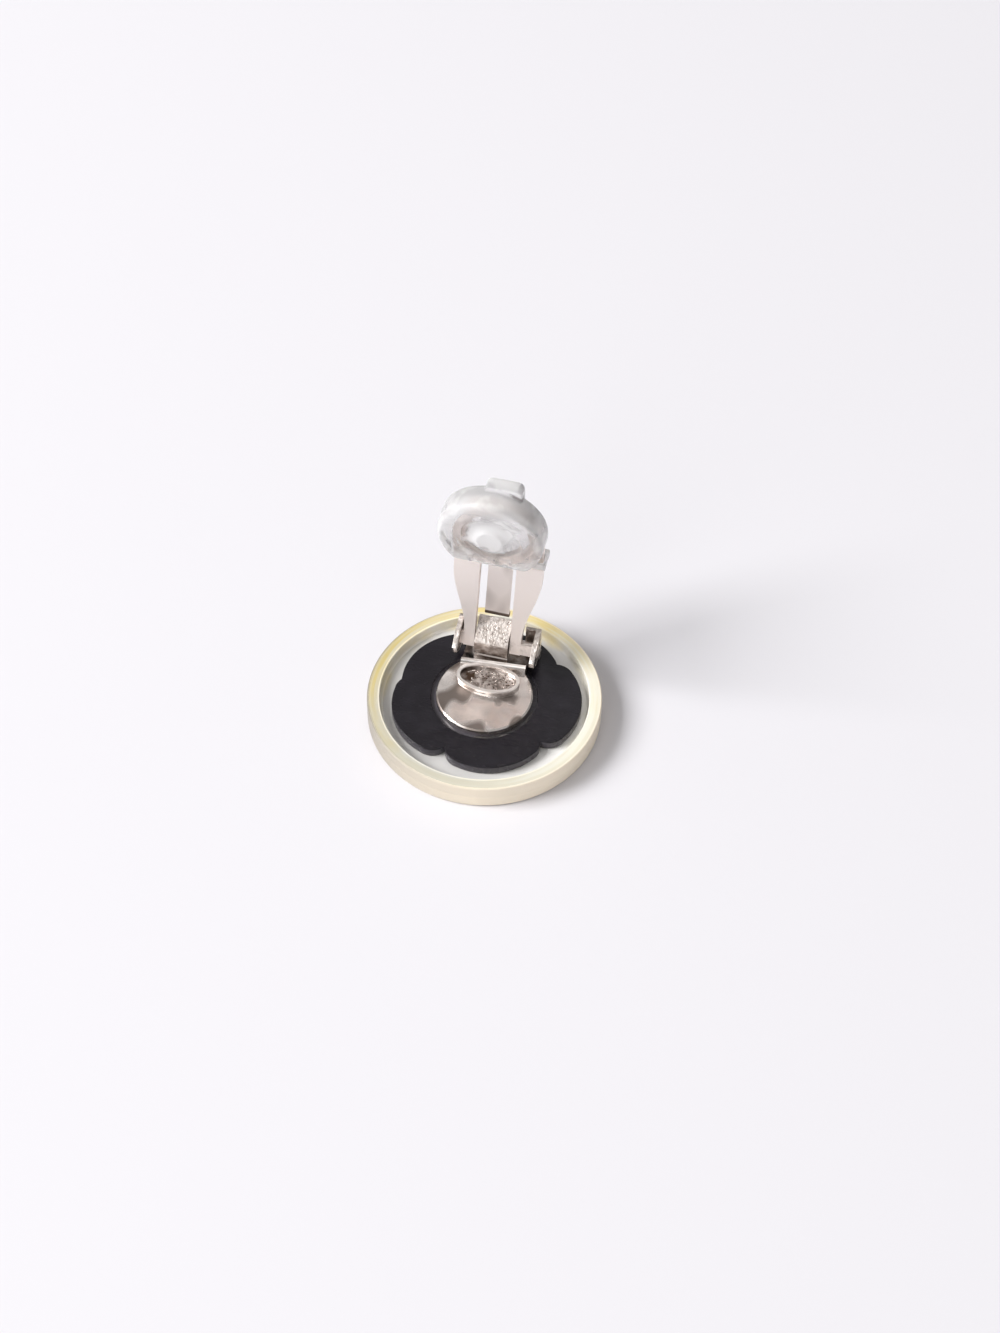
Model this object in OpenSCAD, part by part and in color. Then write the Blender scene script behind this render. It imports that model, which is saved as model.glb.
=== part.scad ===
// Clip-on button earring, lying on its face with the clip standing open.
// Origin at the middle of the face that it lies on. The clip closes toward -Y and hinges along X.

/* [Dish] */
// Outer radius of the round dish
dish_radius = 12.5; // [11.5:0.1:15]
// Height of the dish from its face to the top of its rim
dish_height = 3; // [2.6:0.1:4]
// Width of the flat rim around the recess
rim_width = 1.35; // [0.8:0.05:1.6]
// Depth of the recess behind the rim
recess_depth = 1.2; // [1:0.05:1.5]
// Rounding of the dish's edge on its face side
face_rounding = 0.4; // [0.2:0.05:0.8]
// Rounding of the rim's outer edge
rim_rounding = 0.15; // [0.05:0.05:0.25]

/* [Flower] */
// Gap between the longest petal and the recess wall
flower_margin = 0.6; // [0.3:0.05:1.5]
// How far the flower's top lies below the rim
flower_sink = 0.1; // [0:0.05:0.3]
// Turn of the flower against the clip
flower_turn = 20; // [0:1:71]
// Depth of the flower's pocket around the clip's plate
pocket_depth = 0.4; // [0.2:0.05:0.6]
// Width of the gap between the clip's plate and the pocket's wall
pocket_gap = 0.55; // [0.2:0.05:0.8]

/* [Clip base] */
// Radius of the round plate
plate_radius = 5.15; // [4.9:0.05:5.6]
// Thickness of the round plate
plate_thickness = 0.8; // [0.65:0.05:1]
// Bevel on the plate's upper edge
plate_bevel = 0.15; // [0.05:0.05:0.25]
// Half the length of the oval cartouche
oval_length = 3.4; // [3:0.1:3.7]
// Half the width of the oval cartouche
oval_width = 1.95; // [1.8:0.05:2]
// Radius of the oval's tighter end arcs
oval_end = 1.4; // [1.2:0.05:1.5]
// Height of the oval above the plate
oval_height = 0.9; // [0.6:0.05:1]
// Width of the oval's raised border
oval_border = 0.35; // [0.3:0.05:0.5]
// Depth of the oval's sunk field
oval_field = 0.45; // [0.15:0.05:0.5]
// Half the width of the strap between the plate and the ears
strap_width = 3.5; // [3.2:0.05:3.7]
// Thickness of the strap
strap_thickness = 0.3; // [0.2:0.05:0.4]
// Height of the strap's cross ridge above the plate
ridge_height = 0.8; // [0.6:0.05:0.9]
// Width of the ridge from front to back
ridge_width = 0.6; // [0.4:0.05:0.7]
// Turn of the ridge from a straight line across the strap, as it was soldered
ridge_turn = 5; // [0:0.5:7]

/* [Hinge] */
// How far the hinge stands behind the plate's edge
hinge_overhang = 0.15; // [0:0.05:0.5]
// Clear height between the strap and the lever's feet
foot_clearance = 1.1; // [0.8:0.05:1.4]
// Side play of the lever between the ears
side_play = 0.8; // [0.5:0.05:1]
// Thickness of an ear
ear_thickness = 0.55; // [0.4:0.05:0.7]
// Metal around the hole in an ear
ear_wall = 0.6; // [0.5:0.05:0.8]
// Reach of an ear's front lip beyond the metal around its hole
ear_lip = 0.5; // [0.3:0.05:0.6]
// Depth of the root that joins an ear to the strap
ear_root = 0.6; // [0.5:0.05:0.9]
// Height of the ears' back flanges above the hinge, which stop the lever
stop_rise = 1.9; // [1.8:0.05:2.2]
// Reach of a back flange inward from its ear
stop_reach = 1.1; // [0.8:0.05:1.2]
// Thickness of a back flange
stop_thickness = 0.4; // [0.3:0.05:0.45]
// Radius of the lever's lugs
lug_radius = 0.8; // [0.7:0.05:0.9]
// Running clearance of a lug in its ear
lug_clearance = 0.05; // [0.03:0.01:0.08]
// Side clearance of the spring block between the arms
block_clearance = 0.12; // [0.1:0.01:0.3]
// Height of the spring block's back edge above the hinge
block_rise = 2.4; // [1.4:0.05:2.5]
// Reach of the spring block's top behind the ears
block_reach = 0.3; // [0.1:0.05:0.35]

/* [Lever] */
// How far the lever leans back from upright as it stands open
lever_lean = 13; // [8:0.5:14]
// Thickness of the lever's sheet
lever_thickness = 0.8; // [0.6:0.05:0.9]
// Half the width across the arms at the hinge
foot_width = 3.15; // [2.9:0.05:3.4]
// Half the width of the window between the arms
window_width = 1.95; // [1.8:0.05:2.1]
// Length of the arms from the hinge to the head's bend
arm_length = 10.7; // [10:0.1:11.5]
// Radius of the round head
head_radius = 4.65; // [4.4:0.05:5]
// Width of the head's ring around its hole
head_ring = 1.25; // [1:0.05:1.6]
// Forward bend of the head against the arms
head_bend = 18; // [10:0.5:20]
// Height of the head's raised border
head_border = 0.35; // [0.2:0.05:0.5]

/* [Leaf spring] */
// Gap between the spring and the arm on each side
leaf_gap = 0.63; // [0.5:0.01:0.8]
// Thickness of the spring
leaf_thickness = 0.25; // [0.2:0.05:0.35]
// Distance of the spring's free end from the hinge
leaf_start = 3.1; // [3:0.05:3.4]
// Distance of the spring behind the lever
leaf_offset = 0.55; // [0.4:0.05:0.7]
// Radius of the curl at the spring's free end
curl_radius = 0.35; // [0.25:0.05:0.4]

/* [Ear pad] */
// Wall of the pad around the head
pad_wall = 0.95; // [0.85:0.05:1.2]
// Thickness of the pad in front of the head
pad_front = 1.4; // [1.2:0.05:1.8]
// Thickness of the pad behind the head
pad_back = 0.95; // [0.8:0.05:1.2]
// Sideways slip of the pad on the head
pad_slip = 0.65; // [0:0.05:0.7]
// Distance of the pad's straight lower edge from its middle
pad_chord = 3.7; // [3.3:0.1:4.2]
// Wall of the band beside the lever's neck
mouth_side = 0.3; // [0.25:0.05:0.5]
// Height of the band around the pad's mouth
mouth_height = 0.9; // [0.8:0.1:1.6]
// Wall of the band in front of the lever and behind it
mouth_wall = 0.75; // [0.6:0.05:0.9]
// Half the width of the tab behind the top of the pad
tab_width = 1.95; // [1.6:0.05:2.2]
// Sideways place of the tab
tab_slip = 0.35; // [0:0.05:0.5]
// Height of the tab above the pad's edge
tab_rise = 0.6; // [0.4:0.05:1]
// Thickness of the tab
tab_thickness = 0.5; // [0.3:0.05:0.8]
// Rounding of the tab's corners
tab_rounding = 0.8; // [0.4:0.05:1.2]

/* [Hidden] */
$fn = 96;
glue_line = 0.05;
pad_clearance = 0.08;
slip_clearance = 0.3;
head_flare = 0.1;
cut = 1;

// One row for each petal, cut by hand: its size as a share of the longest, and its turn off an even ring
SIZE = 0;
TURN = 1;
petals = [
    [0.915, 2],
    [0.985, 5],
    [0.905, 1.5],
    [0.91, 6],
    [0.95, -4]
];

// Heights
recess_radius = dish_radius - rim_width;
recess_floor = dish_height - recess_depth;
flower_bottom = recess_floor + glue_line;
flower_top = dish_height - flower_sink;
flower_thickness = flower_top - flower_bottom;
pocket_radius = plate_radius + pocket_gap;
pocket_floor = flower_top - pocket_depth;
plate_bottom = pocket_floor + glue_line;
plate_top = plate_bottom + plate_thickness;
strap_bottom = flower_top + glue_line;
strap_top = plate_top + strap_thickness;

// Outline of the longest petal: a broad arc, with two shoulder circles that just cross it from inside
petal_reach = recess_radius - flower_margin;
petal_arc = 0.71 * petal_reach;
shoulder_radius = 0.193 * petal_reach;
shoulder_offset = 0.325 * petal_reach;
arc_centre = petal_reach - petal_arc;
shoulder_run = petal_arc - shoulder_radius;
shoulder_reach = arc_centre + sqrt(shoulder_run * shoulder_run - shoulder_offset * shoulder_offset);
shoulder_angle = asin(shoulder_offset / shoulder_run);
shoulder_bulge = 0.02;

// The bracket, from front to back
hinge_back = plate_radius + hinge_overhang;
hinge_z = strap_top + foot_clearance + lug_radius;
ear_gap = foot_width + side_play;
ear_outer = ear_gap + ear_thickness;
ear_depth = lug_radius + lug_clearance + ear_wall;
ear_rise = lug_radius + ear_wall / 3;
ear_front = hinge_back - ear_depth;
ear_back = hinge_back + ear_depth;
ear_foot = ear_back - ear_root;
ridge_front = ear_front - ridge_width;
block_half = window_width - block_clearance;
block_front = hinge_back - 0.65 * ear_depth;
block_edge = 0.3;
oval_shift = ridge_front - oval_width + block_edge / 2;

// The lever's own frame has the hinge at its origin, its length along Z and its back toward +Y
lever_slip = slip_clearance - side_play;
half_sheet = lever_thickness / 2;
lug_reach = ear_outer - glue_line;
head_middle = head_radius + 0.15;
leaf_half = window_width - leaf_gap;
leaf_front = half_sheet + leaf_offset;
leaf_grip = head_ring;
pad_radius = head_radius + pad_wall;
mouth_width = head_radius + head_flare + pad_clearance + mouth_side;

module dish_profile() {
    difference() {
        union() {
            square([dish_radius - face_rounding, dish_height]);
            translate([0, face_rounding])
                square([dish_radius, dish_height - face_rounding - rim_rounding]);
            translate([dish_radius - face_rounding, face_rounding])
                circle(face_rounding);
            translate([0, dish_height - 2 * rim_rounding])
                square([dish_radius - rim_rounding, 2 * rim_rounding]);
            translate([dish_radius - rim_rounding, dish_height - rim_rounding])
                circle(rim_rounding);
        }
        translate([0, recess_floor])
            square([recess_radius, recess_depth + cut]);
    }
}

module dish() {
    color([0.96, 0.92, 0.76, 0.5])
        rotate_extrude()
            dish_profile();
}

module petal() {
    fan = petal_reach * tan(shoulder_angle);
    for (side = [-1, 1])
        translate([side * shoulder_offset, shoulder_reach])
            circle(shoulder_radius + shoulder_bulge);
    intersection() {
        translate([0, arc_centre])
            circle(petal_arc);
        polygon([
            [0, arc_centre],
            [fan, arc_centre + petal_reach],
            [-fan, arc_centre + petal_reach]
        ]);
    }
}

module flower_outline() {
    circle(shoulder_reach);
    for (i = [0:len(petals) - 1])
        rotate([0, 0, flower_turn + i * 360 / len(petals) + petals[i][TURN]])
            scale(petals[i][SIZE])
                rotate([0, 0, 180])
                    petal();
}

module flower() {
    color([0.17, 0.16, 0.18])
        difference() {
            translate([0, 0, flower_bottom])
                linear_extrude(flower_thickness)
                    flower_outline();
            translate([0, 0, pocket_floor])
                cylinder(h = pocket_depth + cut, r = pocket_radius);
        }
}

// An oval of four arcs. All its arcs keep their centres when it shrinks evenly.
module oval(length, width, end) {
    end_centre = length - end;
    side_centre = (end_centre * end_centre - (width - end) * (width - end)) / (2 * (width - end));
    side = width + side_centre;
    turn_x = side * end_centre / (side - end);
    for (x = [-end_centre, end_centre])
        translate([x, 0])
            circle(end);
    intersection() {
        translate([0, -side_centre])
            circle(side);
        translate([0, side_centre])
            circle(side);
        square([2 * turn_x, 2 * width + cut], center = true);
    }
}

module plate() {
    translate([0, 0, plate_bottom])
        rotate_extrude()
            polygon([
                [0, 0],
                [plate_radius, 0],
                [plate_radius, plate_thickness - plate_bevel],
                [plate_radius - plate_bevel, plate_thickness],
                [0, plate_thickness]
            ]);
}

module cartouche() {
    translate([0, oval_shift, plate_top - plate_bevel])
        difference() {
            linear_extrude(oval_height + plate_bevel)
                oval(oval_length, oval_width, oval_end);
            translate([0, 0, oval_height + plate_bevel - oval_field])
                linear_extrude(oval_field + cut)
                    oval(oval_length - oval_border, oval_width - oval_border, oval_end - oval_border);
        }
}

// A solid from an outline drawn in the Y-Z plane, between two places along X
module across(left, right) {
    translate([left, 0, 0])
        rotate([90, 0, 90])
            linear_extrude(right - left)
                children();
}

// The strap's floor, narrow in front and as wide as the ears at their roots
module strap() {
    across(-strap_width, strap_width)
        translate([ear_front, strap_bottom])
            square([ear_back - ear_front, strap_top - strap_bottom]);
    across(-ear_outer, ear_outer)
        translate([ear_foot, strap_bottom])
            square([ear_back - ear_foot, strap_top - strap_bottom]);
}

// The ridge across the strap's front, drawn around the place that it turns about
module ridge() {
    foot = plate_top - plate_bevel;
    translate([0, ear_front, 0])
        rotate([0, 0, ridge_turn])
            across(-strap_width, strap_width)
                polygon([
                    [-ridge_width - strap_thickness, foot],
                    [-ridge_width - strap_thickness, plate_top + strap_thickness / 2],
                    [-ridge_width, plate_top + ridge_height - strap_thickness / 2],
                    [-ridge_width + strap_thickness, plate_top + ridge_height],
                    [0, plate_top + ridge_height],
                    [ridge_width, foot]
                ]);
}

// One ear: its side plate with the lug's hole, hung from its root, and the flange bent inward at its back
module ear(side) {
    inner = side * ear_gap;
    outer = side * ear_outer;
    flange = side * (ear_gap - stop_reach);
    tip = ear_front - ear_lip;
    across(min(inner, outer), max(inner, outer))
        difference() {
            polygon([
                [tip, hinge_z - ear_wall],
                [tip, hinge_z],
                [ear_front + ear_rise / 2, hinge_z + ear_rise],
                [ear_back - stop_thickness, hinge_z + stop_rise],
                [ear_back, hinge_z + stop_rise],
                [ear_back, strap_bottom],
                [ear_foot, strap_bottom],
                [ear_foot, hinge_z - ear_depth],
                [ear_front + ear_wall, hinge_z - ear_depth]
            ]);
            translate([hinge_back, hinge_z])
                circle(lug_radius + lug_clearance);
        }
    across(min(flange, outer), max(flange, outer))
        translate([ear_back - stop_thickness, strap_bottom])
            square([stop_thickness, hinge_z + stop_rise - strap_bottom]);
}

// The block between the arms that the spring's end rides over
module block() {
    front_top = hinge_z + lug_radius;
    back = ear_back + block_reach;
    back_top = hinge_z + block_rise;
    across(lever_slip - block_half, lever_slip + block_half)
        polygon([
            [block_front, strap_bottom],
            [block_front, front_top - block_edge],
            [block_front + block_edge, front_top],
            [back - block_edge, back_top],
            [back, back_top - block_edge],
            [ear_back, front_top],
            [ear_back, strap_bottom]
        ]);
}

module clip_base() {
    color([0.84, 0.81, 0.79])
        union() {
            plate();
            cartouche();
            strap();
            ridge();
            block();
            for (side = [-1, 1])
                ear(side);
        }
}

// Places a piece that is drawn in the lever's own frame
module on_lever() {
    translate([lever_slip, hinge_back, hinge_z])
        rotate([-lever_lean, 0, 0])
            children();
}

// Places a piece that is drawn in the head's frame, whose origin is the head's middle
module on_head() {
    translate([0, 0, arm_length])
        rotate([head_bend, 0, 0])
            translate([0, 0, head_middle])
                children();
}

// Half the width across the arms at a share of their length: straight at the foot, a smooth flare, then straight
function arm_half(share) =
    let (flare = min(1, max(0, share - 0.12) / 0.74))
    foot_width + (head_radius + head_flare - foot_width) * (1 - cos(180 * flare)) / 2;

module arm_outline() {
    steps = 12;
    right = [for (i = [0:steps]) [arm_half(i / steps), arm_length * i / steps]];
    left = [for (i = [steps:-1:0]) [-arm_half(i / steps), arm_length * i / steps]];
    difference() {
        polygon(concat([[foot_width, -lug_radius]], right, left, [[-foot_width, -lug_radius]]));
        translate([-window_width, -lug_radius - cut])
            square([2 * window_width, lug_radius + cut + arm_length - half_sheet]);
    }
}

module arms() {
    translate([0, half_sheet, 0])
        rotate([90, 0, 0])
            linear_extrude(lever_thickness)
                arm_outline();
    translate([-arm_half(1), 0, arm_length])
        rotate([0, 90, 0])
            cylinder(h = 2 * arm_half(1), r = half_sheet);
}

// Flat lugs stamped with the sheet, whose edges are coined round to turn in the ears
module lugs() {
    root = foot_width - ear_thickness;
    intersection() {
        translate([-lug_reach - lever_slip, 0, 0])
            rotate([0, 90, 0])
                cylinder(h = 2 * lug_reach, r = lug_radius);
        difference() {
            translate([-2 * lug_reach, -half_sheet, -2 * lug_radius])
                cube([4 * lug_reach, lever_thickness, 4 * lug_radius]);
            cube([2 * root, 4 * lug_radius, 6 * lug_radius], center = true);
        }
    }
}

// The head's outline with its neck, grown by a gap
module head_outline(gap = 0) {
    neck = arm_half(1) + gap;
    circle(head_radius + gap);
    translate([-neck, -head_middle - gap])
        square([2 * neck, head_middle + gap]);
}

module head() {
    rotate([90, 0, 0]) {
        translate([0, 0, -half_sheet])
            linear_extrude(lever_thickness)
                difference() {
                    head_outline();
                    circle(head_radius - head_ring);
                }
        difference() {
            cylinder(h = half_sheet + head_border, r = head_radius);
            cylinder(h = half_sheet + head_border + cut, r = head_radius - 2 * head_border);
        }
    }
}

module clip_lever() {
    color([0.86, 0.82, 0.79])
        on_lever() {
            arms();
            lugs();
            on_head()
                head();
        }
}

module leaf_spring() {
    bend_low = arm_length - 2.2 * leaf_offset;
    bend_high = arm_length - 0.4 * leaf_offset;
    back = half_sheet + glue_line;
    color([0.72, 0.69, 0.68])
        on_lever() {
            across(-leaf_half, leaf_half) {
                polygon([
                    [leaf_front, leaf_start],
                    [leaf_front + leaf_thickness, leaf_start],
                    [leaf_front + leaf_thickness, bend_low],
                    [back + leaf_thickness, bend_high],
                    [back + leaf_thickness, arm_length],
                    [back, arm_length],
                    [back, bend_high],
                    [leaf_front, bend_low]
                ]);
                translate([leaf_front + curl_radius, leaf_start])
                    circle(curl_radius);
            }
            on_head()
                across(-leaf_half, leaf_half)
                    translate([back, -head_middle - leaf_thickness])
                        square([leaf_thickness, leaf_grip + leaf_thickness]);
        }
}

// Half section of the pad: a cushion with rounded edges and a dished face
module pad_profile() {
    front_edge = pad_front / 2;
    back_edge = pad_back / 2;
    back = -half_sheet - pad_back;
    front = half_sheet + pad_front;
    dish_arc = 2.3 * front_edge;
    difference() {
        union() {
            translate([0, back])
                square([pad_radius - back_edge, (front - back) / 2]);
            translate([0, 0])
                square([pad_radius - front_edge, front]);
            translate([0, back + back_edge])
                square([pad_radius, front - front_edge - back - back_edge]);
            translate([pad_radius - back_edge, back + back_edge])
                circle(back_edge);
            translate([pad_radius - front_edge, front - front_edge])
                circle(front_edge);
        }
        translate([(pad_radius - front_edge) / 2, front + 0.75 * dish_arc])
            circle(dish_arc);
    }
}

// The rounded tab that stands up behind the pad's top edge
module pad_tab() {
    reach = pad_radius + tab_rise;
    inner = tab_width - tab_rounding;
    translate([tab_slip, 0, -half_sheet - pad_back - tab_thickness])
        linear_extrude(pad_back + tab_thickness) {
            translate([-tab_width, 0])
                square([2 * tab_width, reach - tab_rounding]);
            translate([-inner, 0])
                square([2 * inner, reach]);
            for (x = [-inner, inner])
                translate([x, reach - tab_rounding])
                    circle(tab_rounding);
        }
}

// The band around the mouth that the lever goes in through
module pad_mouth() {
    band = lever_thickness + 2 * mouth_wall;
    translate([-mouth_width, -pad_chord - cut, -band / 2])
        cube([2 * mouth_width, mouth_height + cut, band]);
}

// The room inside the pad for the head, its neck and the spring
module pad_pocket() {
    slot = leaf_half + pad_clearance;
    translate([0, 0, -half_sheet - pad_clearance])
        linear_extrude(lever_thickness + head_border + 2 * pad_clearance)
            head_outline(pad_clearance);
    translate([-slot, -head_middle - cut, -half_sheet - glue_line - leaf_thickness - pad_clearance])
        cube([2 * slot, leaf_grip + pad_clearance + cut, lever_thickness]);
}

module ear_pad() {
    color([0.93, 0.92, 0.92, 0.5])
        on_lever()
            on_head()
                rotate([90, 0, 0])
                    difference() {
                        union() {
                            translate([-pad_slip, 0, 0])
                                rotate_extrude()
                                    pad_profile();
                            pad_tab();
                            pad_mouth();
                        }
                        translate([0, -pad_chord - pad_radius, 0])
                            cube([4 * pad_radius, 2 * pad_radius, 4 * pad_radius], center = true);
                        pad_pocket();
                    }
}

dish();
flower();
clip_base();
clip_lever();
leaf_spring();
ear_pad();
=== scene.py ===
import math

import bmesh
import bpy
from mathutils import Matrix, Vector, noise


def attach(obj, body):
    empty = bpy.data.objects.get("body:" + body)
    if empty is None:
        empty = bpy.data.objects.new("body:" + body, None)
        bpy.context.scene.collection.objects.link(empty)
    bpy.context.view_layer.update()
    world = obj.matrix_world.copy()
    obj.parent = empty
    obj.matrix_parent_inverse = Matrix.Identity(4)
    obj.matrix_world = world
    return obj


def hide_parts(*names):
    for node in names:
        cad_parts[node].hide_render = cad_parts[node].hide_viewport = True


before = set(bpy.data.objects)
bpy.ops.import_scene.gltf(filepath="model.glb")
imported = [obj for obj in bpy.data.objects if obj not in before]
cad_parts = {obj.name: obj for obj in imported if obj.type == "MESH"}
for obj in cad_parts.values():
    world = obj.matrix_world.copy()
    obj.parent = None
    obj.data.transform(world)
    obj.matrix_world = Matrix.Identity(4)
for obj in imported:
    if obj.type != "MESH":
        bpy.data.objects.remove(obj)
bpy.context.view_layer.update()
mm = 0.001
print("Frame loaded:", ", ".join(sorted(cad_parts)))


# Small helpers

def srgb(hexText):  # Linear RGBA from an sRGB hex colour
    channels = [int(hexText[i:i + 2], 16) / 255 for i in (0, 2, 4)]
    linear = [c / 12.92 if c <= 0.04045 else ((c + 0.055) / 1.055) ** 2.4 for c in channels]
    return (*linear, 1)


# A node with its settings, and its sockets set to values or linked to other sockets
def addNode(tree, kind, inputs=None, **settings):
    made = tree.nodes.new(kind)
    for key, value in settings.items():
        setattr(made, key, value)
    for key, value in (inputs or {}).items():
        if isinstance(value, bpy.types.NodeSocket):
            tree.links.new(value, made.inputs[key])
        else:
            made.inputs[key].default_value = value
    return made


# A material with one Principled shader, whose plain sockets are set by name
def newMaterial(name, **values):
    material = bpy.data.materials.new(name)
    material.use_nodes = True
    tree = material.node_tree
    tree.nodes.clear()
    shader = addNode(tree, "ShaderNodeBsdfPrincipled", {k.replace("_", " "): v for k, v in values.items()})
    output = addNode(tree, "ShaderNodeOutputMaterial")
    tree.links.new(shader.outputs[0], output.inputs["Surface"])
    return material, tree, shader


def millimetres(tree):  # Object coordinates in millimetres
    place = addNode(tree, "ShaderNodeTexCoord")
    return addNode(tree, "ShaderNodeVectorMath", {0: place.outputs["Object"], 1: (1000, 1000, 1000)},
                   operation="MULTIPLY").outputs[0]


# Noise at a scale in cycles per millimetre, stretched along the axes
def noiseMap(tree, place, scale, detail=3, stretch=(1, 1, 1)):
    stretched = addNode(tree, "ShaderNodeVectorMath", {0: place, 1: stretch}, operation="MULTIPLY")
    return addNode(tree, "ShaderNodeTexNoise",
                   {"Vector": stretched.outputs[0], "Scale": scale, "Detail": detail}).outputs["Fac"]


# A value taken from one range to another, clamped
def remap(tree, value, low, high, newLow=0.0, newHigh=1.0):
    return addNode(tree, "ShaderNodeMapRange", {"Value": value, "From Min": low, "From Max": high,
                                                "To Min": newLow, "To Max": newHigh}).outputs["Result"]


def mixColor(tree, factor, first, second):  # Two colours mixed by a factor
    return addNode(tree, "ShaderNodeMix", {0: factor, 6: first, 7: second}, data_type="RGBA").outputs[2]


def math2(tree, operation, first, second=0.0):  # One math node
    return addNode(tree, "ShaderNodeMath", {0: first, 1: second}, operation=operation).outputs[0]


# 1 between two places along a scale, falling to 0 outside them
def within(tree, value, low, high, soft):
    return math2(tree, "MULTIPLY", remap(tree, value, low - soft, low), remap(tree, value, high + soft, high))


# Bump from a height map whose full range is a depth in millimetres
def bump(tree, shader, height, depth, strength=1.0):
    made = addNode(tree, "ShaderNodeBump", {"Height": height, "Distance": depth * mm, "Strength": strength})
    tree.links.new(made.outputs[0], shader.inputs["Normal"])


def newObject(name, mesh, material, body, replaces=()):  # A finished piece that rides on a CAD body
    piece = bpy.data.objects.new(name, mesh)
    bpy.context.scene.collection.objects.link(piece)
    mesh.materials.clear()
    mesh.materials.append(material)
    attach(piece, body)
    if replaces:
        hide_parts(*replaces)
    return piece


def meshFrom(build, sharpAngle=40):  # A mesh from bmesh code, smooth apart from edges sharper than an angle
    grown = bmesh.new()
    build(grown)
    bmesh.ops.recalc_face_normals(grown, faces=grown.faces)
    mesh = bpy.data.meshes.new("mesh")
    grown.to_mesh(mesh)
    grown.free()
    mesh.polygons.foreach_set("use_smooth", [True] * len(mesh.polygons))
    mesh.set_sharp_from_angle(angle=math.radians(sharpAngle))
    return mesh


# Faces between rings of points that each go once around a form, where a ring of one point is a closed end
def joinRings(grown, rings, sides):
    for low, high in zip(rings, rings[1:]):
        for i in range(sides):
            j = (i + 1) % sides
            corners = [low[i % len(low)], low[j % len(low)], high[j % len(high)], high[i % len(high)]]
            grown.faces.new(list(dict.fromkeys(corners)))


# How near points are merged (in mm), and the angles up to which faces are one flat and past which edges wear
copySizes = {"merge": 0.0005, "flatWithin": 0.4, "wearFrom": 25}


def cadCopy(nodeName):  # A merged copy of a CAD node's mesh, with its flat faces joined up
    grown = bmesh.new()
    grown.from_mesh(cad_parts[nodeName].data)
    bmesh.ops.remove_doubles(grown, verts=grown.verts, dist=copySizes["merge"] * mm)
    bmesh.ops.dissolve_limit(grown, angle_limit=math.radians(copySizes["flatWithin"]), verts=grown.verts,
                             edges=grown.edges)
    bmesh.ops.recalc_face_normals(grown, faces=grown.faces)
    mesh = bpy.data.meshes.new(nodeName + "Mesh")
    grown.to_mesh(mesh)
    grown.free()
    return mesh


def evaluated(mesh, modifiers):  # A plain mesh after a list of modifiers, each a type and its settings
    carrier = bpy.data.objects.new("carrier", mesh)
    bpy.context.scene.collection.objects.link(carrier)
    for kind, settings in modifiers:
        modifier = carrier.modifiers.new(kind.lower(), kind)
        for key, value in settings.items():
            setattr(modifier, key, value)
    result = bpy.data.meshes.new_from_object(carrier.evaluated_get(bpy.context.evaluated_depsgraph_get()))
    bpy.data.objects.remove(carrier)
    return result


def bevelled(nodeName, width, segments=2, sharpAngle=35):  # A CAD node's mesh with its edges worn round
    mesh = evaluated(cadCopy(nodeName), [("BEVEL", {
        "width": width * mm, "segments": segments, "limit_method": "ANGLE",
        "angle_limit": math.radians(copySizes["wearFrom"]), "use_clamp_overlap": True})])
    mesh.polygons.foreach_set("use_smooth", [True] * len(mesh.polygons))
    mesh.set_sharp_from_angle(angle=math.radians(sharpAngle))
    return evaluated(mesh, [("WEIGHTED_NORMAL", {"keep_sharp": True, "weight": 100})])


# The camera, found by fitting the dish and the clip to the photograph
view = {"lens": 59.4, "distance": 240, "azimuth": 13.5, "elevation": 50.3, "roll": 1.196,
        "aim": (1.584, 6.296, 0.2)}
turn = Matrix.Rotation(math.radians(view["azimuth"]), 3, "Z")
rise = math.radians(view["elevation"])
aim = turn @ Vector(view["aim"])
toCamera = turn @ Vector((0, -math.cos(rise), math.sin(rise)))
right = turn @ Vector((1, 0, 0))
up = toCamera.cross(right)
roll = math.radians(view["roll"])
right, up = right * math.cos(roll) + up * math.sin(roll), up * math.cos(roll) - right * math.sin(roll)
camera = bpy.data.objects.new("camera", bpy.data.cameras.new("camera"))
camera.data.lens = view["lens"]
camera.data.clip_start = 0.01
camera.matrix_world = Matrix.Translation((aim + toCamera * view["distance"]) * mm) @ Matrix(
    (right, up, toCamera)).transposed().to_4x4()
bpy.context.scene.collection.objects.link(camera)
bpy.context.scene.camera = camera
print("Camera placed")


# Clear dish, turned from its section, with the seam where its ring is bonded to its face
dishSizes = {"radius": 12.5, "height": 3.0, "recessRadius": 11.15, "floor": 1.8, "faceRound": 0.4,
             "rimRound": 0.15, "innerRound": 0.1, "footRound": 0.3, "seamHeight": 1.55, "seamDepth": 0.03,
             "seamShape": ((-0.12, 0), (-0.04, 0.4), (0, 1), (0.04, 0.4), (0.12, 0)), "flatRings": (4, 8),
             "segments": 192}


def corner(centreR, centreZ, radius, start, end, steps=6):  # Points on a rounding, as radius and height
    angles = [math.radians(start + (end - start) * i / steps) for i in range(steps + 1)]
    return [(centreR + radius * math.cos(a), centreZ + radius * math.sin(a)) for a in angles]


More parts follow.
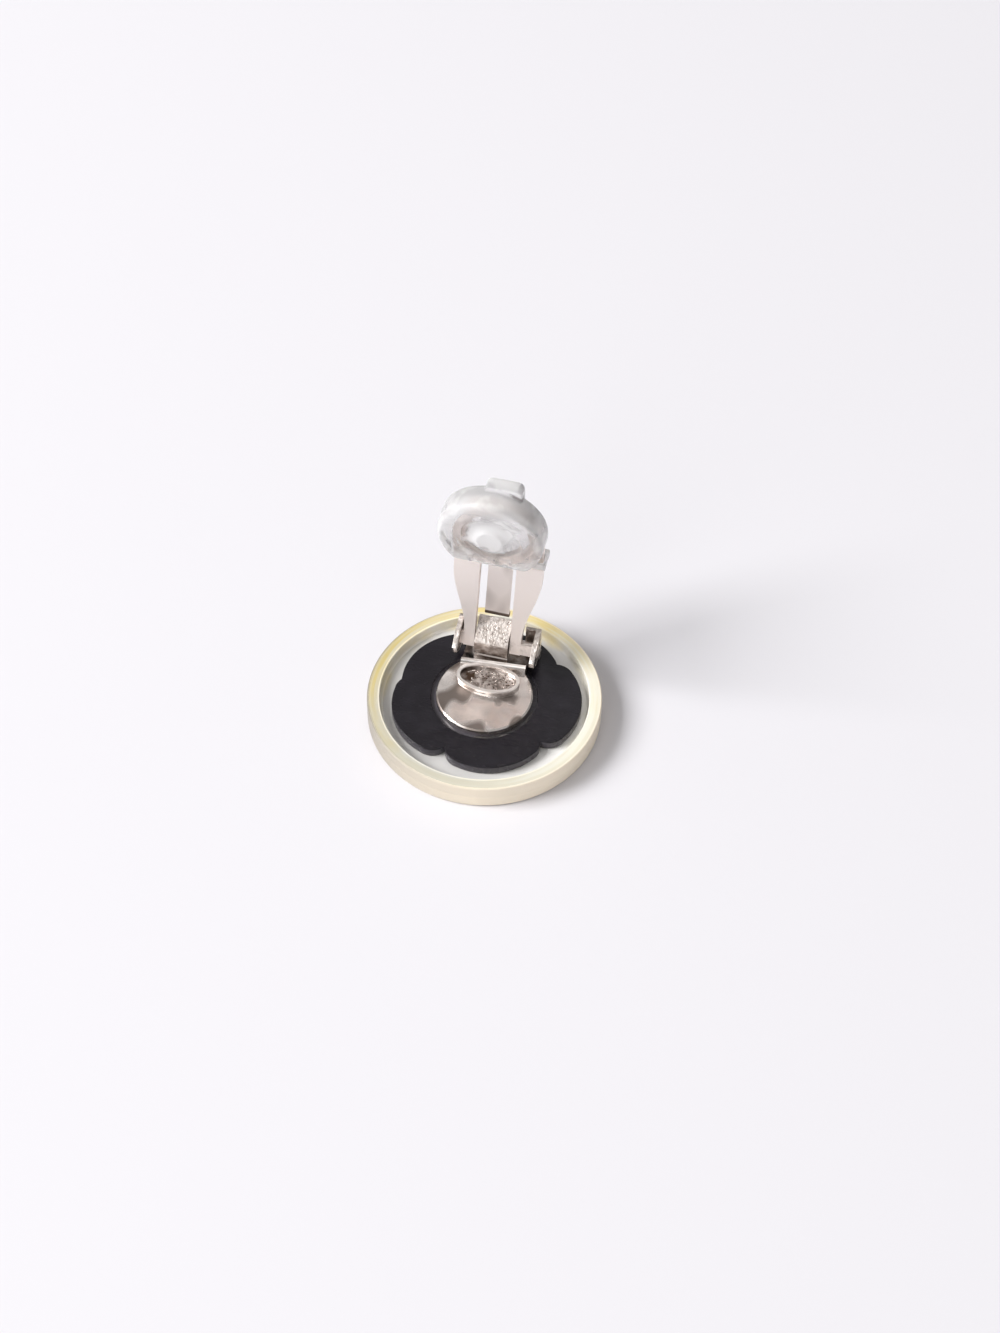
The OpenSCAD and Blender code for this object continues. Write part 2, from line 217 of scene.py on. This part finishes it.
def dishSection(s):  # The dish's half section from the middle of its face to the middle of its floor
    radius, height, recess, floor = s["radius"], s["height"], s["recessRadius"], s["floor"]
    faceRound, rimRound = s["faceRound"], s["rimRound"]
    innerRound, footRound = s["innerRound"], s["footRound"]
    nearRing, farRing = s["flatRings"]
    section = [(0, 0), (nearRing, 0), (farRing, 0), (radius - 2 * faceRound, 0)]
    section += corner(radius - faceRound, faceRound, faceRound, -90, 0, 8)
    for offset, depth in s["seamShape"]:
        section.append((radius - s["seamDepth"] * depth, s["seamHeight"] + offset))
    section += corner(radius - rimRound, height - rimRound, rimRound, 0, 90)
    section += corner(recess + innerRound, height - innerRound, innerRound, 90, 180)
    section += corner(recess - footRound, floor + footRound, footRound, 0, -90)
    section += [(recess - 1, floor), (farRing, floor), (nearRing, floor), (0, floor)]
    return section


# A closed turned form from a section that starts and ends on the axis
def turned(grown, section, segments):
    rings = []
    for radius, height in section:
        if radius == 0:
            rings.append([grown.verts.new((0, 0, height * mm))])
        else:
            rings.append([grown.verts.new((radius * mm * math.cos(2 * math.pi * i / segments),
                                           radius * mm * math.sin(2 * math.pi * i / segments),
                                           height * mm)) for i in range(segments)])
    joinRings(grown, rings, segments)


# Moulded clear acrylic gone yellow with age, most at the rim's back left. It looks half clear and half milky,
# with glassy streaks that run around the rim, where pale painted highlights stand in for their glints, and a
# satin outer wall with painted shade towards its left
acrylicLook = {"clear": "FCFAF8", "pale": "F4EED8", "aged": "FFE9A0", "paintedGlintColour": "FFFDF2",
               "shadedWall": "A39C90", "litWall": "FFF2DC", "transmission": 0.4, "haze": (0.06, 0.18),
               "rimFrom": (10.6, 11.6), "wallFrom": (12.2, 12.42), "innerWall": (10.9, 11.3),
               "streaksAcross": 2.6, "streaksAlong": 0.13}
clearAcrylic, tree, shader = newMaterial("clearAcrylic", IOR=1.49)
place = millimetres(tree)
axes = addNode(tree, "ShaderNodeSeparateXYZ", {0: place})
across, back = axes.outputs[0], axes.outputs[1]
squares = math2(tree, "ADD", math2(tree, "MULTIPLY", across, across), math2(tree, "MULTIPLY", back, back))
radius = math2(tree, "SQRT", squares)
wander = remap(tree, noiseMap(tree, place, 0.25), 0.3, 0.7, -0.4, 0.4)
inRim = remap(tree, math2(tree, "ADD", radius, wander), *acrylicLook["rimFrom"])
onWall = remap(tree, radius, *acrylicLook["wallFrom"])

# Its colour
backLeft = math2(tree, "SUBTRACT", back, math2(tree, "MULTIPLY", across, 0.7))
backLeft = math2(tree, "ADD", backLeft, remap(tree, noiseMap(tree, place, 0.2), 0.3, 0.7, -5, 5))
yellow = mixColor(tree, remap(tree, backLeft, -6, 12), srgb(acrylicLook["pale"]), srgb(acrylicLook["aged"]))
# Painted shade: the outer wall is darker towards the left and lighter towards the right
wall = mixColor(tree, remap(tree, across, -11, 2), srgb(acrylicLook["shadedWall"]),
                srgb(acrylicLook["litWall"]))
streakPlace = addNode(tree, "ShaderNodeCombineXYZ", {
    0: math2(tree, "MULTIPLY", radius, acrylicLook["streaksAcross"]),
    1: math2(tree, "MULTIPLY", across, acrylicLook["streaksAlong"]),
    2: math2(tree, "MULTIPLY", back, acrylicLook["streaksAlong"])}).outputs[0]
paintedGlints = remap(tree, noiseMap(tree, streakPlace, 1.0, 1), 0.42, 0.62)  # About 0.4 mm wide
# Painted highlight: pale streaks around the rim stand in for glints of light along its glassy bands
yellow = mixColor(tree, math2(tree, "MULTIPLY", paintedGlints, 0.5), yellow, srgb(acrylicLook["paintedGlintColour"]))
yellow = mixColor(tree, onWall, yellow, wall)
tree.links.new(mixColor(tree, inRim, srgb(acrylicLook["clear"]), yellow), shader.inputs["Base Color"])

# How clear it is: milkier towards the right and the back, on the outer wall and on the shaded inner wall. On
# the right and back of the rim and on the shaded inner wall, the milkier acrylic shows paler, as painted
# light
rightBack = math2(tree, "ADD", across, math2(tree, "MULTIPLY", back, 0.6))
towardsRight = remap(tree, rightBack, -9, 8, 0.0, -0.28)
milkyAndPaintedLight = math2(tree, "ADD", math2(tree, "MULTIPLY", remap(tree, radius, 7, 9), towardsRight),
              math2(tree, "MULTIPLY", onWall, -0.2))
shadedInside = math2(tree, "MULTIPLY", within(tree, radius, *acrylicLook["innerWall"], 0.1),
                     remap(tree, rightBack, -2, 6, -0.3, 0.0))
milkyAndPaintedLight = math2(tree, "ADD", milkyAndPaintedLight, shadedInside)
tree.links.new(math2(tree, "ADD", milkyAndPaintedLight, acrylicLook["transmission"]), shader.inputs["Transmission Weight"])
haze = remap(tree, noiseMap(tree, place, 1.2, 5), 0.35, 0.7, *acrylicLook["haze"])  # Patches near 1 mm
tree.links.new(math2(tree, "ADD", haze, math2(tree, "MULTIPLY", onWall, 0.3)), shader.inputs["Roughness"])
bump(tree, shader, noiseMap(tree, place, 0.5, 1), 0.02, 0.4)  # Waves about 2 mm long

dishMesh = meshFrom(lambda grown: turned(grown, dishSection(dishSizes), dishSizes["segments"]))
newObject("clearDish", dishMesh, clearAcrylic, "base", ("dish",))
print("Dish turned")


# Black flower plate, its cut edges slightly worn
flowerSizes = {"edgeWear": 0.1, "segments": 3, "cutBelow": (2.86, 2.78), "face": "1B181D", "dusty": "242127",
               "paintedWallLight": "4B484E", "shine": (0.2, 0.34), "scratchDepth": 0.006}

# Black acrylic sheet, laser cut: a glossy face with faint dust and rubbing, and cut walls painted paler,
# standing in for the light they catch
blackAcrylic, tree, shader = newMaterial("blackAcrylic", Specular_IOR_Level=0.3)
place = millimetres(tree)
dust = remap(tree, noiseMap(tree, place, 0.6, 6), 0.45, 0.8)  # Patches near 2 mm
face = mixColor(tree, dust, srgb(flowerSizes["face"]), srgb(flowerSizes["dusty"]))
height = addNode(tree, "ShaderNodeSeparateXYZ", {0: place}).outputs[2]
# Painted light: the cut walls below the face are painted paler, standing in for the light they catch
onCut = remap(tree, height, *flowerSizes["cutBelow"])
tree.links.new(mixColor(tree, onCut, face, srgb(flowerSizes["paintedWallLight"])), shader.inputs["Base Color"])
scratches = noiseMap(tree, place, 0.9, 4, (0.5, 1.6, 1))  # Rubbed marks, 1 to 2 mm long
tree.links.new(remap(tree, scratches, 0.35, 0.7, *flowerSizes["shine"]), shader.inputs["Roughness"])
bump(tree, shader, scratches, flowerSizes["scratchDepth"], 0.3)
flowerMesh = bevelled("flower", flowerSizes["edgeWear"], flowerSizes["segments"])
newObject("blackFlower", flowerMesh, blackAcrylic, "base", ("flower",))
print("Flower dressed")


noWearNoHighlight = (99, 98, 97)  # Heights above every piece, so that it has no wear and no painted highlight
# The near-white colour is a painted highlight for raised tops
plating = {"pits": "8F7F73", "paintedHighlight": "FFFAF6", "shine": (0.16, 0.26)}


# Plated metal. stain(tree, place, height) says how much tarnish and painted shade a place has, depths are
# those of its waves and grain, and wear gives the heights where its waves end, where its rough upper part
# starts and where a painted highlight brightens its raised edges, all in millimetres
def platedMetal(name, bright, dull, depths, stainAndShade, satin=0.0, wearAndHighlight=noWearNoHighlight):
    waveDepth, grainDepth = depths
    wavesEnd, roughFrom, highlightAt = wearAndHighlight
    material, tree, shader = newMaterial(name, Metallic=1.0)
    place = millimetres(tree)
    height = addNode(tree, "ShaderNodeSeparateXYZ", {0: place}).outputs[2]
    stainedAndShaded = stainAndShade(tree, place, height)
    raised = remap(tree, height, roughFrom, roughFrom + 0.4)
    pits = remap(tree, noiseMap(tree, place, 2.6, 3), 0.42, 0.62, 0.3, 0.65)  # Pits about 0.4 mm across
    pitted = math2(tree, "MULTIPLY", raised, pits)
    shade = mixColor(tree, pitted, srgb(bright), srgb(plating["pits"]))
    # Darkened where stain says, which on the cast base is tarnish and painted shade
    shade = mixColor(tree, stainedAndShaded, shade, srgb(dull))
    # Painted highlight: a band of raised tops painted near white, standing in for the light they catch
    paintedHighlight = within(tree, height, highlightAt, highlightAt + 0.2, 0.06)
    tree.links.new(mixColor(tree, paintedHighlight, shade, srgb(plating["paintedHighlight"])), shader.inputs["Base Color"])
    shine = remap(tree, noiseMap(tree, place, 1.2, 3), 0.35, 0.7, *plating["shine"])  # Smears near 1 mm
    shine = math2(tree, "ADD", shine, satin)
    shine = math2(tree, "ADD", shine, math2(tree, "MULTIPLY", math2(tree, "ADD", raised, paintedHighlight), 0.2))
    shine = math2(tree, "ADD", shine, math2(tree, "MULTIPLY", stainedAndShaded, 0.3))
    tree.links.new(shine, shader.inputs["Roughness"])
    waves = math2(tree, "MULTIPLY", remap(tree, height, wavesEnd + 0.06, wavesEnd), waveDepth)
    waves = math2(tree, "MULTIPLY", noiseMap(tree, place, 0.3, 0), waves)  # Waves about 3 mm long
    depth = math2(tree, "ADD", math2(tree, "MULTIPLY", raised, 0.05), grainDepth)
    grain = math2(tree, "MULTIPLY", noiseMap(tree, place, 4, 3), depth)  # Grain about 0.25 mm across
    bump(tree, shader, math2(tree, "ADD", waves, grain), 1.0)
    return material


# Tarnish and painted shade in boxes, each with its ranges along X, Y and Z in millimetres, how softly it ends
# and how dark
def boxTarnishAndShade(tree, place, boxes):
    ragged = addNode(tree, "ShaderNodeTexNoise", {"Vector": place, "Scale": 1.4, "Detail": 3})
    shifted = addNode(tree, "ShaderNodeVectorMath", {0: ragged.outputs["Color"], 1: (0.5, 0.5, 0.5)},
                      operation="SUBTRACT")
    moved = addNode(tree, "ShaderNodeVectorMath", {0: shifted.outputs[0], 1: (0.7, 0.7, 0.7), 2: place},
                    operation="MULTIPLY_ADD")
    axes = addNode(tree, "ShaderNodeSeparateXYZ", {0: moved.outputs[0]})
    total = None
    for *ranges, soft, amount in boxes:
        inside = amount
        for axis, (low, high) in enumerate(ranges):
            inside = math2(tree, "MULTIPLY", inside, within(tree, axes.outputs[axis], low, high, soft))
        total = inside if total is None else math2(tree, "MAXIMUM", total, inside)
    patchy = remap(tree, noiseMap(tree, place, 1.1, 4), 0.25, 0.6, 0.55, 1.0)
    return math2(tree, "MULTIPLY", total, patchy)


# Tarnish and painted shade in the base's hollows, broad faint clouds on its round plate, and painted shade
# broken into specks in the cartouche's field
def baseTarnishAndShade(tree, place, height):
    clouds = remap(tree, noiseMap(tree, place, 0.42, 0, (1, 0.6, 1)), 0.46, 0.56, 0, 0.75)
    clouds = math2(tree, "MULTIPLY", clouds, within(tree, height, 3.0, 3.4, 0.03))
    # Painted shade: the cartouche's sunken field darkened throughout, broken into specks
    fieldShadeSpecks = remap(tree, noiseMap(tree, place, 1.7, 4), 0.42, 0.6, 0.1, 0.75)
    fieldShadeSpecks = math2(tree, "MULTIPLY", fieldShadeSpecks, within(tree, height, 3.72, 3.9, 0.03))
    return math2(tree, "MAXIMUM", boxTarnishAndShade(tree, place, baseStainsAndShade), math2(tree, "MAXIMUM", clouds, fieldShadeSpecks))


baseStainsAndShade = [  # Where the base is darkened: brown tarnish and painted shade in its hollows, painted shade on shaded faces and a painted shadow
    ((-1.6, 4.2), (3.8, 6.9), (2.9, 5.0), 0.6, 0.9),  # Bracket's floor: tarnish and painted shade
    ((-2.3, 4.1), (4.2, 5.2), (5.0, 5.7), 0.4, 0.8),  # Block's foot: tarnish and painted shade
    ((-3.1, -1.6), (0.9, 2.6), (3.6, 4.0), 0.7, 1.0),  # Painted shade in the cartouche's left end
    ((1.8, 3.3), (-0.4, 0.2), (3.3, 3.6), 0.6, 0.7),  # Painted shadow in front of its right end
    ((-3.98, -3.9), (3.5, 6.3), (3.9, 7.4), 0.05, 0.8),  # Painted shade on the inner face of the left ear
    ((3.0, 3.95), (6.2, 6.4), (5.0, 7.4), 0.1, 0.9),  # Painted shade inside the right ear
]


def faintCloud(tree, place, height):  # A few faint clouds on the stamped lever
    return remap(tree, noiseMap(tree, place, 0.5, 5), 0.62, 0.8)


def speckled(tree, place, height):  # Dark and bright grains side by side
    return remap(tree, noiseMap(tree, place, 2.2, 2), 0.46, 0.54)


def springShadeAndStreaks(tree, place, height):  # The spring's lower edge darkened with painted shade, and streaks along it
    streaked = remap(tree, noiseMap(tree, place, 0.5, 1, (1, 1, 0.3)), 0.5, 0.8, 0, 0.4)
    return math2(tree, "MAXIMUM", remap(tree, height, *springEdge), streaked)


clipSizes = {"baseWear": 0.07, "leverWear": 0.08, "springWear": 0.03}
springEdge = (8.62, 8.5)  # Heights between which painted shade darkens the spring

# Nickel plate on cast and soldered brass: polished in broad waves on the plate, rough and pitted on the block
# and the ears, and brown with tarnish in its hollows. Painted shade darkens its hollows and the faces that
# fall in shade, and a painted highlight brightens its raised tops
castLook = {"bright": "F3EBE6", "dull": "5E4C40", "depths": (0.3, 0.003), "stainAndShade": baseTarnishAndShade,
            "wearAndHighlight": (3.37, 5.7, 4.12)}
castNickel = platedMetal("castNickel", **castLook)

# Nickel plate on stamped sheet brass: satin, even and nearly clean
sheetLook = {"bright": "FBF2ED", "dull": "C2B8B0", "depths": (0, 0.0005), "stainAndShade": faintCloud, "satin": 0.25}
sheetNickel = platedMetal("sheetNickel", **sheetLook)

# The same nickel plate on cast grains, which catch the light one by one
grainLook = {"bright": "E8DED8", "dull": "4E3F36", "depths": (0, 0.002), "stainAndShade": speckled}
grainNickel = platedMetal("grainNickel", **grainLook)

# Rolled spring steel: a little darker than the lever, with a satin shine
springLook = {"bright": "F3EAE5", "dull": "6E6058", "depths": (0, 0.0005), "stainAndShade": springShadeAndStreaks,
              "satin": 0.15}
springSteel = platedMetal("springSteel", **springLook)

baseMesh = bevelled("clip_base", clipSizes["baseWear"])
leverMesh = bevelled("clip_lever", clipSizes["leverWear"])
springMesh = bevelled("leaf_spring", clipSizes["springWear"])
newObject("clipBase", baseMesh, castNickel, "base", ("clip_base",))
newObject("clipLever", leverMesh, sheetNickel, "lever", ("clip_lever",))
newObject("leafSpring", springMesh, springSteel, "lever", ("leaf_spring",))
print("Metal dressed")


# Cast grain on the cartouche's field and on the block, strewn by Geometry Nodes
def strewNodes():  # A node group that strews flattened grains over a patch
    group = bpy.data.node_groups.new("castGrain", "GeometryNodeTree")
    group.interface.new_socket("Patch", in_out="INPUT", socket_type="NodeSocketGeometry")
    for label, kind in (("Density", "NodeSocketFloat"), ("Smallest", "NodeSocketFloat"),
                        ("Largest", "NodeSocketFloat"), ("Seed", "NodeSocketInt"),
                        ("Metal", "NodeSocketMaterial")):
        group.interface.new_socket(label, in_out="INPUT", socket_type=kind)
    group.interface.new_socket("Grains", in_out="OUTPUT", socket_type="NodeSocketGeometry")
    given = addNode(group, "NodeGroupInput")
    spots = addNode(group, "GeometryNodeDistributePointsOnFaces", {
        "Mesh": given.outputs["Patch"], "Density": given.outputs["Density"], "Seed": given.outputs["Seed"]})
    grain = addNode(group, "GeometryNodeMeshIcoSphere", {"Radius": 1.0, "Subdivisions": 2})
    size = addNode(group, "FunctionNodeRandomValue", {
        2: given.outputs["Smallest"], 3: given.outputs["Largest"], "Seed": given.outputs["Seed"]},
        data_type="FLOAT")
    across = size.outputs[1]
    scale = addNode(group, "ShaderNodeCombineXYZ", {0: across, 1: across, 2: across})
    flat = addNode(group, "ShaderNodeVectorMath", {0: scale.outputs[0], 1: (1, 1, 0.6)}, operation="MULTIPLY")
    placed = addNode(group, "GeometryNodeInstanceOnPoints", {
        "Points": spots.outputs["Points"], "Instance": grain.outputs["Mesh"],
        "Rotation": spots.outputs["Rotation"], "Scale": flat.outputs[0]})
    real = addNode(group, "GeometryNodeRealizeInstances", {"Geometry": placed.outputs[0]})
    metal = addNode(group, "GeometryNodeSetMaterial", {"Geometry": real.outputs[0],
                                                       "Material": given.outputs["Metal"]})
    result = addNode(group, "NodeGroupOutput")
    group.links.new(metal.outputs[0], result.inputs[0])
    return group


def strewn(name, patch, group, values, material):  # Grains strewn over a patch, as one piece
    carrier = bpy.data.objects.new("carrier", patch)
    bpy.context.scene.collection.objects.link(carrier)
    modifier = carrier.modifiers.new("castGrain", "NODES")
    modifier.node_group = group
    for item in group.interface.items_tree:
        if item.in_out == "INPUT" and item.name in values:
            modifier[item.identifier] = values[item.name]
        elif item.name == "Metal":
            modifier[item.identifier] = material
    mesh = bpy.data.meshes.new_from_object(carrier.evaluated_get(bpy.context.evaluated_depsgraph_get()))
    bpy.data.objects.remove(carrier)
    mesh.polygons.foreach_set("use_smooth", [True] * len(mesh.polygons))
    newObject(name, mesh, material, "base")


def flatPatch(outline):  # A one-face patch from points in millimetres
    grown = bmesh.new()
    face = grown.faces.new([grown.verts.new(Vector(p) * mm) for p in outline])
    bmesh.ops.triangulate(grown, faces=[face])
    mesh = bpy.data.meshes.new("patch")
    grown.to_mesh(mesh)
    grown.free()
    return mesh


# Grain of a few hundredths of a millimetre would be too fine to show, so it is drawn about twice as coarse
grainGroup = strewNodes()
fieldSizes = {"middleY": 1.45, "height": 3.79, "length": 2.75, "width": 1.3}
fieldGrain = {"Density": 1.4e7, "Smallest": 0.03 * mm, "Largest": 0.11 * mm, "Seed": 4}
fieldOutline = [(fieldSizes["length"] * math.cos(math.radians(a)),
                 fieldSizes["middleY"] + fieldSizes["width"] * math.sin(math.radians(a)),
                 fieldSizes["height"]) for a in range(0, 360, 10)]
strewn("cartoucheGrain", flatPatch(fieldOutline), grainGroup, fieldGrain, grainNickel)

blockSizes = {"left": -2.2, "right": 1.2, "front": (4.75, 6.42), "back": (6.65, 7.87)}
blockGrain = {"Density": 9e6, "Smallest": 0.02 * mm, "Largest": 0.07 * mm, "Seed": 9}
blockOutline = [(blockSizes[side], *blockSizes[end]) for side, end in (
    ("left", "front"), ("right", "front"), ("right", "back"), ("left", "back"))]
strewn("blockGrain", flatPatch(blockOutline), grainGroup, blockGrain, grainNickel)
print("Cast grain strewn")


# Clear glue squeezed out around the plate
glueSizes = {"ring": 5.42, "height": 2.6, "width": 0.3, "thickness": 0.16, "start": -88, "end": -4,
             "steps": 90, "sides": 14}


def glueBead(grown, s):  # An uneven bead along an arc, tapered to nothing at both ends
    rings = []
    for step in range(s["steps"] + 1):
        share = step / s["steps"]
        angle = math.radians(s["start"] + (s["end"] - s["start"]) * share)
        swell = math.sin(math.pi * share) ** 0.5 * (0.8 + 0.5 * noise.noise((6 * share, 1.7, 0)))
        ringRadius = s["ring"] + 0.12 * noise.noise((5 * share, 9.1, 2))
        if step in (0, s["steps"]):
            tip = Vector((ringRadius * math.cos(angle), ringRadius * math.sin(angle), s["height"]))
            rings.append([grown.verts.new(tip * mm)])
            continue
        ring = []
        for side in range(s["sides"]):
            a = 2 * math.pi * side / s["sides"]
            r = ringRadius + s["width"] * swell * math.cos(a)
            z = s["height"] + s["thickness"] * swell * math.sin(a)
            ring.append(grown.verts.new((r * math.cos(angle) * mm, r * math.sin(angle) * mm, z * mm)))
        rings.append(ring)
    joinRings(grown, rings, s["sides"])


# Clear set glue: glassy, with a wavy skin
clearGlue, tree, shader = newMaterial("clearGlue", Base_Color=srgb("EFEBE6"), Transmission_Weight=1.0,
                                      IOR=1.5)
place = millimetres(tree)
tree.links.new(remap(tree, noiseMap(tree, place, 1.5, 3), 0.3, 0.7, 0.03, 0.15), shader.inputs["Roughness"])
bump(tree, shader, noiseMap(tree, place, 1.3, 2), 0.05, 0.6)  # Waves under 1 mm long
glueMesh = meshFrom(lambda grown: glueBead(grown, glueSizes))
newObject("glueBead", glueMesh, clearGlue, "base")
print("Glue laid")


# Soft clear cushion over the lever's head
padSizes = {"voxel": 0.1, "softening": 8, "middle": (-0.9, 6.0, 21.6)}

# Moulded clear silicone: soft, slightly cloudy, with a wavy skin. It is clearest in a ring where the metal
# head shows through, and milky in its middle and at its edge, with a painted shadow in the gap at the foot of
# the tab
siliconeLook = {"clean": "FDFCFC", "paintedGapShadow": "6E6866", "transmission": 0.71, "haze": (0.08, 0.22),
                "waveDepth": 0.12}
clearSilicone, tree, shader = newMaterial("clearSilicone", Base_Color=srgb(siliconeLook["clean"]), IOR=1.36)
place = millimetres(tree)
axes = addNode(tree, "ShaderNodeSeparateXYZ", {0: place})
across, height = axes.outputs[0], axes.outputs[2]
# Painted shadow: a dark band where the tab meets the cushion, standing in for the shadowed gap between them
tabFoot = math2(tree, "ADD", height, math2(tree, "MULTIPLY", across, 0.5))
paintedGapShadow = math2(tree, "MULTIPLY", within(tree, across, 0.9, 2.5, 0.5), within(tree, tabFoot, 26.62, 26.84, 0.2))
tree.links.new(mixColor(tree, paintedGapShadow, srgb(siliconeLook["clean"]), srgb(siliconeLook["paintedGapShadow"])),
               shader.inputs["Base Color"])

away = addNode(tree, "ShaderNodeVectorMath", {0: place, 1: padSizes["middle"]}, operation="DISTANCE")
wander = remap(tree, noiseMap(tree, place, 0.45, 2), 0.3, 0.7, -0.9, 0.9)
away = math2(tree, "ADD", away.outputs["Value"], wander)
ring = math2(tree, "MULTIPLY", within(tree, away, 3.0, 4.2, 0.8), remap(tree, height, 25, 22.5))
milkyMiddle = remap(tree, away, 3.0, 2.2, 0, -0.3)
milkyEdge = remap(tree, away, 5.0, 5.6, 0, -0.12)
clearness = math2(tree, "ADD", math2(tree, "MULTIPLY", ring, 0.2), math2(tree, "ADD", milkyMiddle, milkyEdge))
clearness = math2(tree, "ADD", clearness, siliconeLook["transmission"])
tree.links.new(clearness, shader.inputs["Transmission Weight"])
haze = remap(tree, noiseMap(tree, place, 0.9, 4), 0.35, 0.7, *siliconeLook["haze"])
tree.links.new(haze, shader.inputs["Roughness"])
bump(tree, shader, noiseMap(tree, place, 0.45, 2), siliconeLook["waveDepth"], 0.7)  # Waves about 2 mm long
padMesh = evaluated(cadCopy("ear_pad"), [
    ("REMESH", {"mode": "VOXEL", "voxel_size": padSizes["voxel"] * mm}),
    ("SMOOTH", {"iterations": padSizes["softening"], "factor": 0.5})])
padMesh.polygons.foreach_set("use_smooth", [True] * len(padMesh.polygons))
pad = newObject("earCushion", padMesh, clearSilicone, "lever", ("ear_pad",))
print("Pad softened,", len(padMesh.polygons), "faces")


# Pale floor and soft light from the front left
floorSize = 3.0  # Half its width in metres
grown = bmesh.new()
bmesh.ops.create_grid(grown, x_segments=1, y_segments=1, size=floorSize)
floorMesh = bpy.data.meshes.new("floor")
grown.to_mesh(floorMesh)
grown.free()
floor = bpy.data.objects.new("floor", floorMesh)
floor.location.z = -0.01 * mm  # Just under the button's face
bpy.context.scene.collection.objects.link(floor)

# Matt painted board, so the floor shows no shine
paleTable, tree, shader = newMaterial("paleTable", Base_Color=srgb("E4E2E6"), Roughness=0.8,
                                      Specular_IOR_Level=0.2)
floorMesh.materials.append(paleTable)

roomGlow = {"front": "FFFFFF", "behind": "B5B0AE", "from": (0.2, 0.8), "strength": 0.385}
world = bpy.data.worlds.new("softRoom")
world.use_nodes = True
tree = world.node_tree
tree.nodes.clear()
direction = addNode(tree, "ShaderNodeTexCoord")
axes = addNode(tree, "ShaderNodeSeparateXYZ", {0: direction.outputs["Generated"]})
behind = remap(tree, axes.outputs[1], *roomGlow["from"])
glow = mixColor(tree, behind, srgb(roomGlow["front"]), srgb(roomGlow["behind"]))
background = addNode(tree, "ShaderNodeBackground", {"Color": glow, "Strength": roomGlow["strength"]})
tree.links.new(background.outputs[0], addNode(tree, "ShaderNodeOutputWorld").inputs["Surface"])
bpy.context.scene.world = world

lights = {
    "keyLight": {"at": (-1.37, -0.52, 1.2), "size": 0.9, "watts": 44.5},
    "frontLight": {"at": (-0.25, -0.75, 0.42), "size": 0.5, "watts": 1.1},
    "topLight": {"at": (0.05, 0.3, 0.55), "size": 0.4, "watts": 0.3},
}
for name, light in lights.items():
    lamp = bpy.data.lights.new(name, "AREA")
    lamp.size = light["size"]
    lamp.energy = light["watts"]
    holder = bpy.data.objects.new(name, lamp)
    holder.location = light["at"]
    holder.rotation_euler = Vector(light["at"]).to_track_quat("Z", "Y").to_euler()
    bpy.context.scene.collection.objects.link(holder)
bpy.context.scene.view_settings.view_transform = "Standard"
print("Stage set")
